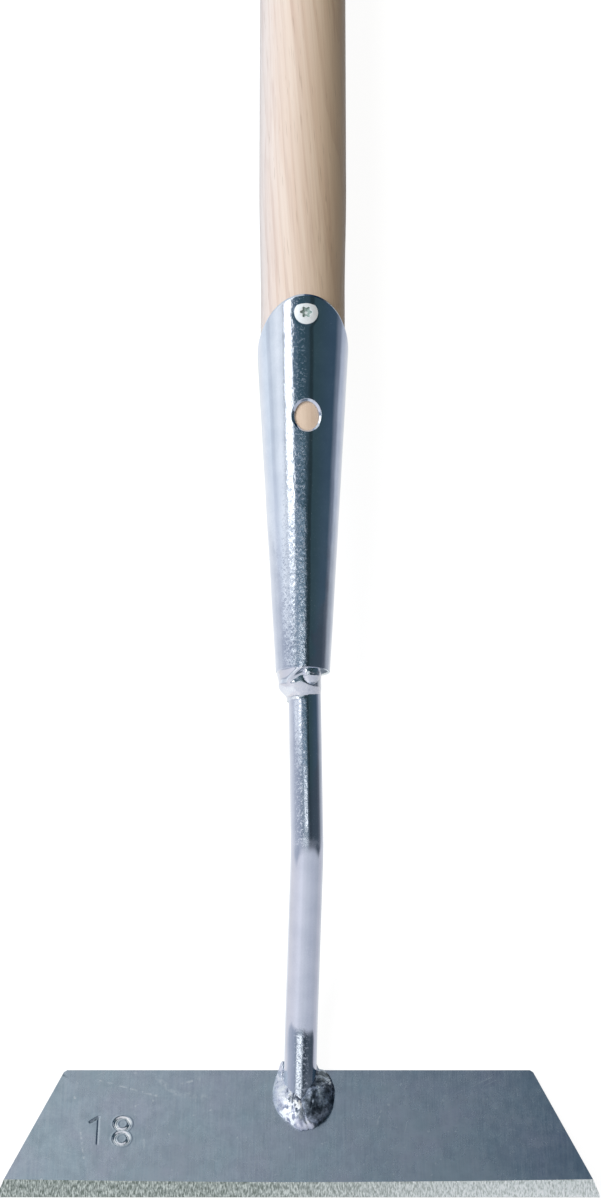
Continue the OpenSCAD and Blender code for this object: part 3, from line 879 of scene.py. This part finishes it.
# %% Mesh of the blank
CLEAR_OF_EDGE, CLEAR_EXTRA = 0.55, 0.08
TRIANGLE_H = 0.866  # of a triangle with three sides of 1
CHAMFER = 0.65
RIM_ROWS = (0.16, 0.32, 0.48, 0.66, 0.9, 1.3, 1.9)


def mesh_region(loops, inside, spacing, extra=()):
    """Triangles that fill closed loops in the plane, with an even grid of points between."""
    points, edges = [], []
    for loop in loops:
        start = len(points)
        points += loop
        edges += [(start + i, start + (i + 1) % len(loop)) for i in range(len(loop))]
    near = KDTree(len(points))
    for i, p in enumerate(points):
        near.insert((*p, 0), i)
    near.balance()
    xs, ys = zip(*points)
    row, y = 0, min(ys)
    while y <= max(ys):
        x = min(xs) + (row % 2) * spacing / 2
        while x <= max(xs):
            if inside(x, y) and near.find((x, y, 0))[2] > spacing * CLEAR_OF_EDGE:
                points.append((x, y))
            x += spacing
        y += spacing * TRIANGLE_H
        row += 1
    points += [p for p in extra if near.find((*p, 0))[2] > CLEAR_EXTRA]
    flat, _, tris = delaunay_2d_cdt([Vector(p) for p in points], edges, [], 0, 1e-6)[:3]
    return flat, [tuple(t) for t in tris if inside(sum(flat[i][0] for i in t) / 3,
                                                   sum(flat[i][1] for i in t) / 3)]


extra = [(0.28 * i, SCREW_Z + 0.28 * k) for i in range(-22, 23) for k in range(-22, 22)]
extra = [p for p in extra if in_blank(*p) and p[1] < mouth_z(p[0] / FLAT_R) - RIM_ROWS[-1]]
for k in (0.2, 0.42, CHAMFER, 0.9, 1.3):
    extra += hole_ring(HOLE_X, HOLE_Z, HOLE_W + k, HOLE_H + k, 72)
extra += [(a * FLAT_R, mouth_z(a) - drop)
          for a in [0.012 * i for i in range(-180, 181)] for drop in RIM_ROWS]
flat, tris = mesh_region([blank_outline(), hole_ring(HOLE_X, HOLE_Z, HOLE_W, HOLE_H, 72),
                          hole_ring(0, SCREW_Z, SCREW_HOLE_R, SCREW_HOLE_R, 40)],
                         in_blank, 1.1, extra)
print("blank:", len(flat), "points,", len(tris), "triangles")

# %% [markdown]
# Rolling turns each point's distance along the blank into an angle. The sheet is pushed in at its
# rim, in a dish round the screw and along the chamfer of the hole, and it keeps slight waves from
# the rollers. A second shell inside gives the thickness, and a bevel softens the edges.

# %% Roll the blank
SHEET_T, EDGE_SOFT = 1.25, 0.4
RIM_PRESS, RIM_WIDTH, DISH = 0.40, 0.75, 0.10


def rim_edges(tris):
    """Edges that only one triangle uses, in that triangle's direction."""
    edges = {(t[i], t[(i + 1) % 3]): None for t in tris for i in range(3)}
    return [e for e in edges if (e[1], e[0]) not in edges]


def rim_gap(a, z):
    """Distance from the slanting rim, along the sheet."""
    slope = (mouth_z(a + 0.01) - mouth_z(a - 0.01)) / (0.02 * cone_r(z))
    return (mouth_z(a) - z) / math.hypot(1, slope)


def sheet_push(a, z):
    """How far the sheet is pushed in at an angle and a height."""
    p = (9 * math.cos(a), 9 * math.sin(a), z * 0.35)
    push = 0.05 * lumps(p, 5, 3.1) + 0.02 * lumps(p, 1.7, 7.7)
    push += RIM_PRESS * (1 - smooth(0, RIM_WIDTH, rim_gap(a, z)))
    from_hole, from_screw = hole_gaps(a, z)
    if abs(a) < FRONT_ANGLE and z > 100:
        push += DISH * smooth(3.0, -1.0, z - SCREW_Z) * (1 - smooth(3.6, 4.8, from_screw))
    if abs(a) < FRONT_ANGLE and abs(z - HOLE_Z) < 9:
        push += max(0.0, CHAMFER - from_hole)
    return push


outer, inner = [], []
for s, z in flat:
    a = s / FLAT_R
    r = cone_r(z) - sheet_push(a, z)
    outer.append((r * math.sin(a), -r * math.cos(a), z))
    inner.append(((r - SHEET_T) * math.sin(a), -(r - SHEET_T) * math.cos(a), z))
n = len(flat)
faces = tris + [(c + n, b + n, a + n) for a, b, c in tris]
faces += [(b, a, a + n, b + n) for a, b in rim_edges(tris)]
socket = piece("socket", outer + inner, faces, turned, [zinc_sheet])
soft = socket.modifiers.new("soft_edges", "BEVEL")
soft.width = EDGE_SOFT * MM
soft.segments = 3
soft.limit_method = "ANGLE"
soft.angle_limit = math.radians(40)
soft.harden_normals = False

# %% [markdown]
# The screw that fixes the tongue has a raised countersunk head with a six-lobed recess. Its rings
# are not all round: near the recess each ring follows the lobes, and further out it becomes a
# circle, so one skin of rings makes the whole head without any cutting. Below the shank, rings of
# two radii take turns and stand for the thread.

# %% Screw
SCREW_Y = cone_r(SCREW_Z) - 0.15
HEAD_R, DOME_H, SHANK_R, SCREW_L = 3.75, 0.81, 2.0, 22.0
RECESS_R, LOBE_DEPTH, LOBES = 1.6, 0.34, 6
FLOOR_H = DOME_H - 0.9
SHANK_END = -2.95
THREADS, PITCH, CORE_R = 8, 1.7, 1.32
at_screw = (turned @ Matrix.Translation((0, -SCREW_Y, SCREW_Z))
            @ Matrix.Rotation(math.pi / 2, 4, "X"))


def lobed_ring(r, z):
    """A ring of the recess."""
    radii = [r + LOBE_DEPTH * (r / RECESS_R) * math.cos(LOBES * a) for a in ANGLES]
    return [(q * math.cos(a), q * math.sin(a), z) for q, a in zip(radii, ANGLES)]


def dome(r):
    return DOME_H * (1 - (r / HEAD_R) ** 2)


rings = [lobed_ring(r, z) for r, z in (
    (0.5, FLOOR_H - 0.25), (1.0, FLOOR_H - 0.1), (1.38, FLOOR_H), (1.52, FLOOR_H + 0.15),
    (1.56, DOME_H - 0.4), (1.60, dome(1.6) - 0.10), (1.66, dome(1.72) - 0.03),
    (1.74, dome(1.84)))]
rings += [circle(r, dome(r)) for r in (2.3, 2.5, 2.8, 3.1, 3.35, 3.55, 3.68, 3.74)]
rings += [circle(r, z) for r, z in ((HEAD_R, -0.08), (HEAD_R - 0.05, -0.2), (SHANK_R, -1.75),
                                    (SHANK_R, SHANK_END))]
for i in range(THREADS):
    for part, r in ((0.1, CORE_R), (0.42, SHANK_R), (0.58, SHANK_R), (0.9, CORE_R)):
        rings.append(circle(r, SHANK_END - (i + part) * PITCH))
rings += [circle(CORE_R, -SCREW_L + 4), circle(0.2, -SCREW_L + 0.1)]
verts, faces = capped_rings(rings, (0, 0, FLOOR_H - 0.3), (0, 0, -SCREW_L))
# The floor and walls of the recess, all but its middle, take the darker finish: painted shade.
shaded = range(RING, RING * 6)
piece("tongue_screw", verts, faces, at_screw, [zinc_screw, recess_shade], sharp=50,
      face_materials=[1 if i in shaded else 0 for i in range(len(faces))])

# %% [markdown]
# The neck is one round bar with two bends, and it isn't quite true: its upper stretch is bowed
# above the first bend, and it stands and sways a little to the side. The route is a list of
# points that says so, from the end inside the socket to a spare end below the blade.

# %% Neck route
BAR_R, BEND_R, FOOT_BEND_R = 5.0, 42.0, 30.0
LEAN, FOOT_LEAN = math.radians(18.4), math.radians(4)
UPPER, MIDDLE, LOWER, NECK_IN = 55.4, 56.7, 19.2, 24.0
BEND_LIFT, SPARE = 2.4, 16.4
SHIFT, SWAY, BOW = Vector((0.45, 0, 0)), Vector((1.0, 0, 0)), Vector((0, 1.72, 0))
BOWED = ((-3, 0.0), (-12, 0.11), (-21, 0.21), (-30, 0.37), (-38, 0.565))
bend_1 = Vector((0, 0, -UPPER))
foot_way = Vector((0, math.sin(FOOT_LEAN), -math.cos(FOOT_LEAN)))
bend_2 = (bend_1 + MIDDLE * Vector((0, math.sin(LEAN), -math.cos(LEAN)))
          - BEND_LIFT * foot_way)
route = [SHIFT + Vector((0, 0, NECK_IN))]
route += [SHIFT + SWAY * (z / -UPPER) + BOW * part + Vector((0, 0, z)) for z, part in BOWED]
route += [bend_1 + SHIFT + SWAY + BOW, bend_2 + 0.7 * SHIFT + 0.45 * SWAY,
          bend_2 + (LOWER + SPARE) * foot_way + 0.1 * SWAY]
print("neck route:", len(route), "points")

# %% [markdown]
# A bar along a path is what Geometry Nodes do best: the tree rounds the corners of the path and
# sweeps a circle along it. The two bends have different radii. A curve's own radius attribute
# carries each point's share of the bend radius, and is set back to 1 before the sweep, which
# would otherwise thin the bar.

# %% Neck tree
bar_tree, given, result = group("bent_bar", {
    "Geometry": ("Geometry", None), "Bar Radius": ("Float", None), "Bend Radius": ("Float", None),
    "Step": ("Float", None), "Finish": ("Material", None)},
    {"Geometry": "Geometry"}, "GeometryNodeTree")
tree = bar_tree
share = add(tree, "GeometryNodeInputRadius").outputs["Radius"]
rounded = add(tree, "GeometryNodeFilletCurve", {
    "Curve": given["Geometry"], "Count": 24, "Radius": times(tree, share, given["Bend Radius"])},
    mode="POLY").outputs["Curve"]
plain = add(tree, "GeometryNodeSetCurveRadius", {"Curve": rounded, "Radius": 1.0})
even = add(tree, "GeometryNodeResampleCurve", {
    "Curve": plain.outputs["Curve"], "Length": given["Step"]}, mode="LENGTH")
ring = add(tree, "GeometryNodeCurvePrimitiveCircle", {
    "Resolution": 64, "Radius": given["Bar Radius"]})
swept = add(tree, "GeometryNodeCurveToMesh", {
    "Curve": even.outputs["Curve"], "Profile Curve": ring.outputs["Curve"], "Fill Caps": True})
real = add(tree, "GeometryNodeRealizeInstances", {"Geometry": swept.outputs["Mesh"]})
painted = add(tree, "GeometryNodeSetMaterial", {
    "Geometry": real.outputs["Geometry"], "Material": given["Finish"]})
tree.links.new(painted.outputs["Geometry"], result["Geometry"])
print("bar tree:", len(tree.nodes), "nodes")

# %% [markdown]
# The tree runs as a modifier on a curve, whose inputs are set by the identifiers of the sockets.
# The evaluated result becomes a plain mesh, and the curve and the modifier go. The foot is then
# cut off flat, along the top face of the blade.

# %% Neck
curve = bpy.data.curves.new("neck_path", "CURVE")
curve.dimensions = "3D"
line = curve.splines.new("POLY")
line.points.add(len(route) - 1)
for p, v in zip(line.points, route):
    p.co = (*(turned @ v), 1)
line.points[-2].radius = FOOT_BEND_R / BEND_R
holder = bpy.data.objects.new("neck_path", curve)
scene.collection.objects.link(holder)
modifier = holder.modifiers.new("bar", "NODES")
modifier.node_group = bar_tree
sockets = {s.name: s.identifier for s in bar_tree.interface.items_tree if s.in_out == "INPUT"}
for name, value in (("Bar Radius", BAR_R * MM), ("Bend Radius", BEND_R * MM), ("Step", 1.5 * MM),
                    ("Finish", zinc_bar)):
    modifier[sockets[name]] = value
mesh = bpy.data.meshes.new_from_object(
    holder.evaluated_get(bpy.context.evaluated_depsgraph_get()))
holder.modifiers.remove(modifier)
bpy.data.objects.remove(holder)
bpy.data.curves.remove(curve)
mesh.name = "neck"

shape = bmesh.new()
shape.from_mesh(mesh)
plate_normal = (on_blade.to_3x3() @ Vector((0, 0, 1))).normalized()
bmesh.ops.remove_doubles(shape, verts=shape.verts, dist=1e-6)
cut = bmesh.ops.bisect_plane(shape, geom=shape.verts[:] + shape.edges[:] + shape.faces[:],
                             plane_co=on_blade.translation, plane_no=plate_normal,
                             clear_inner=True)
bmesh.ops.edgenet_fill(shape, edges=[e for e in cut["geom_cut"]
                                     if isinstance(e, bmesh.types.BMEdge)])
bmesh.ops.recalc_face_normals(shape, faces=shape.faces)
shape.to_mesh(mesh)
shape.free()
mesh.shade_smooth()
mesh.set_sharp_from_angle(angle=math.radians(40))
hand_over(mesh, "neck")

# %% [markdown]
# The weld between socket and bar is a ring of metal that ran down unevenly: thick on the left,
# thin on the right, with a slanting ridge and a round blob in front. A ring whose radius depends
# on angle and height gives that.

# %% Socket weld
BLOB_X, BLOB_Z, BLOB_R = 2.7, -1.9, 3.0
WELD_TOP, WELD_L = 2.9, 12.2
WELD_STEPS, WELD_ROWS = 160, 96
FRONT_R = 7.5
LIP_UNDER, UNDER_SHEET = 0.3, 0.9


def weld_r(a, z):
    """Radius of the weld at the angle a (0 in front, positive to the right) and height z."""
    p = (7 * math.sin(a), 7 * math.cos(a), z)
    right = math.sin(a)
    thick = 1.65 - 0.9 * right
    body = thick * smooth(-8.6, -4.2, z + 1.2 * max(0.0, right) + 0.5 * lumps(p, 3.0, 6.0))
    lip = smooth(-2.3 + 1.3 * right, 0.3, z) * (SMALL_R - LIP_UNDER - BAR_R - thick)
    x = a * FRONT_R
    line = z + 2.0 - 0.72 * (x + 3.2)
    ridge = 0.7 * math.exp(-(line / 0.75) ** 2) * smooth(0.6, -0.8, x) * smooth(-6.5, -4.5, x)
    grain = 0.12 * lumps(p, 2.6, 1.3) + 0.02 * lumps(p, 1.0, 4.2)
    r = BAR_R - 0.05 + body + lip
    r += (ridge + grain) * smooth(-8.8, -6.5, z) * smooth(2.2, 0.6, z)
    if z > 0.6:
        r = min(r, cone_r(z) - UNDER_SHEET)
    d = math.hypot(x - BLOB_X, z - BLOB_Z) / BLOB_R
    if d < 1:
        ground = cone_r(max(z, 0)) - UNDER_SHEET - 0.35 * smooth(0, -4, z)
        r = max(r, ground + (1 - d * d) ** 0.7 + 0.12 * lumps(p, 0.8, 2.2))
    return r


def weld_ring(z):
    angles = [2 * math.pi * i / WELD_STEPS for i in range(WELD_STEPS)]
    radii = [weld_r((a + math.pi) % (2 * math.pi) - math.pi, z) for a in angles]
    return [(r * math.sin(a), -r * math.cos(a), z) for r, a in zip(radii, angles)]


rings = [weld_ring(WELD_TOP - WELD_L * k / (WELD_ROWS - 1)) for k in range(WELD_ROWS)]
verts, faces = capped_rings(rings, (0, 0, WELD_TOP), (0, 0, WELD_TOP - WELD_L))
piece("socket_weld", verts, faces, turned, [zinc_weld], sharp=60)

# %% [markdown]
# The blade carries its size in centimetres, pressed in with a punch. It could be a bump in the
# material, but a real dent catches the light from every side, so it is in the mesh. Each stroke is
# a distance: to a straight line for the stem and the flag, to an oval for the two loops. The depth
# follows from it, with a low lip of metal that the punch pushed up.

# %% Pressed number
ONE_X, EIGHT_X, DIGIT_Y = -60.75, -53.48, -12.3
NUMBER_X, NUMBER_W, NUMBER_H = -57.4, 9.0, 7.5
STEM_DEPTH, FLAG_DEPTH, LOOP_DEPTH, LIP_HEIGHT = 0.11, 0.40, 0.52, 0.03


def line_distance(p, a, b):
    t = max(0, min(1, (p - a).dot(b - a) / (b - a).length_squared))
    return (p - a - t * (b - a)).length


def oval_distance(p, centre, half_w, half_h):
    """Distance from an upright oval, near enough for a narrow one."""
    q = p - Vector(centre)
    return abs(math.hypot(q[0] * half_h / half_w, q[1]) - half_h)


def stroke_distances(x, y):
    """Distances from the stem and the flag of the first digit and the loops of the second."""
    p = Vector((x, y))
    top, low = Vector((ONE_X, DIGIT_Y + 4.7)), Vector((ONE_X, DIGIT_Y - 4.7))
    return (line_distance(p, top, low), line_distance(p, top, top + Vector((-2.45, -1.75))),
            min(oval_distance(p, (EIGHT_X, DIGIT_Y + 2.4), 2.2, 2.1),
                oval_distance(p, (EIGHT_X - 0.05, DIGIT_Y - 2.75), 2.2, 2.15)))


def number_z(x, y):
    if abs(x - NUMBER_X) > NUMBER_W or abs(y - DIGIT_Y) > NUMBER_H:
        return 0.0
    stem, flag, loops = stroke_distances(x, y)
    one = max(STEM_DEPTH * (1 - smooth(0.0, 0.50, stem)),
              FLAG_DEPTH * (1 - smooth(0.0, 0.55, flag)))
    eight = LOOP_DEPTH * (1 - smooth(0.05, 0.66, loops))
    return LIP_HEIGHT * math.exp(-((loops - 0.85) / 0.22) ** 2) - one - eight


print("number %.1f mm from the middle line" % NUMBER_X)

# %% [markdown]
# The blade is a plate with clipped rear corners. Its top face ends in front where the ground bevel
# starts, a line that is bowed because the grinder took more at the ends. The face is filled with
# triangles as the blank was, with fine points only where the number is.

# %% Blade top
FRONT_HALF, BACK_HALF, REAR_Y, EDGE_Y = 90.0, 72.0, 9.2, -33.8
CLIP, CLIP_SLACK = 0.7, 0.42
BEVEL_W, BEVEL_BOW = 3.7, 1.0
COLUMNS, FINE = 180, 0.14


def side_x(y):
    return BACK_HALF + (FRONT_HALF - BACK_HALF) * (REAR_Y - y) / (REAR_Y - EDGE_Y)


def bevel_y(x):
    """Line where the ground bevel starts."""
    return EDGE_Y + BEVEL_W + BEVEL_BOW * (abs(x) / FRONT_HALF) ** 1.6


def in_plate(x, y):
    return (bevel_y(x) < y < REAR_Y and abs(x) < side_x(y)
            and abs(x) - BACK_HALF + y - REAR_Y < -CLIP + CLIP_SLACK * CLIP)


bevel_half = side_x(bevel_y(FRONT_HALF))
bevel_line = [(x, bevel_y(x)) for x in [-bevel_half * (1 - 2 * i / COLUMNS)
                                        for i in range(COLUMNS + 1)]]
corner_y = bevel_line[-1][1]
right = [(side_x(y), y) for y in [corner_y + (REAR_Y - CLIP - corner_y) * i / 40
                                  for i in range(1, 41)]]
rear = [((BACK_HALF - CLIP) * (1 - 2 * i / 120), REAR_Y) for i in range(121)]
left = [(-x, y) for x, y in reversed(right)]
fine = [(-66 + FINE * i, DIGIT_Y - 6.6 + FINE * k) for i in range(122) for k in range(95)]
fine = [p for p in fine if min(stroke_distances(*p)) < 1.6]
flat, tris = mesh_region([bevel_line + right + rear + left], in_plate, 2.6, fine)
top = [(x, y, number_z(x, y)) for x, y in flat]
follow = dict(rim_edges(tris))
loop = [next(iter(follow))]
while follow[loop[-1]] != loop[0]:
    loop.append(follow[loop[-1]])
print("plate:", len(top), "points, rim of", len(loop))

# %% [markdown]
# The walls follow the rim of the top face. Along the front each rim point gets three more: the
# line where the bevel was honed, the narrow land at the very edge, and the edge of the sole. All
# other rim points only go straight down to the sole.

# %% Blade
PLATE_T, LAND = 2.5, 0.3
HONE_Y, HONE_Z, HONE_WAVE = EDGE_Y + 1.25, -1.32, 0.12
PRESSED_Z, PRESSED_X = -0.12, -57.5
PLATE, BEVEL, NUMBER = 0, 1, 2

verts, faces = list(top), list(tris)
kinds = [NUMBER if min(top[i][2] for i in t) < PRESSED_Z and top[t[0]][0] > PRESSED_X else PLATE
         for t in tris]
hone, land, sole = {}, {}, {}
for i in loop:
    x, y = flat[i]
    rows = [(sole, (x, y, -PLATE_T))]
    if abs(y - bevel_y(x)) < 1e-4:
        x_edge = x * FRONT_HALF / bevel_half
        x_hone = x + (x_edge - x) * (y - HONE_Y) / (y - EDGE_Y)
        y_hone = HONE_Y + HONE_WAVE * lumps((x, 0, 0), 2.2)
        rows = [(hone, (x_hone, y_hone, HONE_Z)), (land, (x_edge, EDGE_Y, LAND - PLATE_T)),
                (sole, (x_edge, EDGE_Y, -PLATE_T))]
    for row, point in rows:
        row[i] = len(verts)
        verts.append(point)
for a, b in zip(loop, loop[1:] + loop[:1]):
    if a in land and b in land:
        walls = [(b, a, hone[a], hone[b]), (hone[b], hone[a], land[a], land[b]),
                 (land[b], land[a], sole[a], sole[b])]
    elif a in land:
        walls = [(b, a, hone[a], land[a], sole[a], sole[b])]
    elif b in land:
        walls = [(b, a, sole[a], sole[b], land[b], hone[b])]
    else:
        walls = [(b, a, sole[a], sole[b])]
    faces += walls
    kinds += [BEVEL if len(walls) == 3 else PLATE] * len(walls)
faces.append([sole[i] for i in reversed(loop)])
kinds.append(PLATE)
piece("blade", verts, faces, on_blade, [satin_blade, ground_bevel, pressed_number],
      sharp=25, face_materials=kinds)

# %% [markdown]
# Two weld passes hold the foot, one on each side of the bar. Each is a low mound on the plate: its
# plan is an outline round a middle point, its height falls off towards that outline, it climbs
# the back of the bar, and small lumps and ripples break up the surface.

# %% Foot welds
LEFT_EDGE = [(1.0, 9.0), (-3.5, 9.3), (-6.1, 8.9), (-7.5, 4.5), (-7.9, 0.4), (-7.4, -3.3),
             (-5.5, -6.9), (-2.8, -9.6), (0.4, -12.2), (3.2, -11.9), (5.2, -11.0), (4.0, -6.0),
             (2.6, 0.0), (1.6, 5.0)]
RIGHT_EDGE = [(8.0, 8.9), (4.5, 9.3), (2.0, 8.5), (1.2, 3.0), (0.4, -2.0), (-0.1, -6.2),
              (1.2, -9.4), (3.4, -10.9), (6.0, -10.2), (8.8, -7.6), (10.5, -4.0), (11.1, 1.0),
              (10.4, 5.2)]
MOUND_STEPS, MOUND_ROWS = 150, 56
CLIMB, CLIMB_SOFT = 0.54, 1.7


def closed_curve(points, count):
    """Even points on a smooth closed curve through the given ones."""
    curve = []
    for i in range(count):
        t = i / count * len(points)
        j, f = int(t), t - int(t)
        p0, p1, p2, p3 = (Vector(points[(j + m) % len(points)]) for m in (-1, 0, 1, 2))
        curve.append(p1 + 0.5 * f * (p2 - p0 + f * (2 * p0 - 5 * p1 + 4 * p2 - p3
                                                    + f * (3 * (p1 - p2) + p3 - p0))))
    return curve


def mound_z(x, y, rho, height, power, seed):
    """Height of a mound at a point; rho is 0 in its middle and 1 on its outline."""
    at = (x, y, 0)
    rough = (0.32 * lumps(at, 2.6, seed) + 0.16 * lumps(at, 1.2, seed + 5)
             + 0.09 * lumps(at, 0.55, seed + 8))
    flow = 0.10 * lumps((x * 2.6, y * 0.5, 0), 1.4, seed + 3)
    h = height * max(0.0, 1 - rho ** 2) ** power * (1 - 0.4 * smooth(0, 8, y))
    climb = CLIMB * max(y, 0) * (1 - smooth(BAR_R, BAR_R + CLIMB_SOFT, abs(x)))
    return max(0.0, max(h, climb) + (rough + flow) * (1 - rho ** 4))


def mound(name, outline, middle, height, power, seed, material):
    """A mound of weld metal on the plate."""
    middle = Vector(middle)
    edge = closed_curve(outline, MOUND_STEPS)
    rings = []
    for k in range(1, MOUND_ROWS + 1):
        rho = math.sin(math.pi / 2 * k / MOUND_ROWS)
        ring = []
        for p in edge:
            q = middle + (p - middle) * rho * (1 + 0.03 * rho * lumps((*p, 0), 1.1, seed))
            x, y = q[0], min(q[1], REAR_Y - 0.02)
            z = mound_z(x, y, rho, height, power, seed) if k < MOUND_ROWS else 0.0
            ring.append((x, y, z))
        rings.append(ring)
    verts, faces = capped_rings(rings, (*middle, height), (*middle, 0.0))
    piece(name, verts, faces, on_blade, [material], sharp=75)


mound("foot_weld_left", LEFT_EDGE, (-2.0, -3.4), 4.5, 0.60, 2.0, pale_weld)
mound("foot_weld_right", RIGHT_EDGE, (4.4, -3.4), 5.3, 0.48, 9.0, burnt_weld)
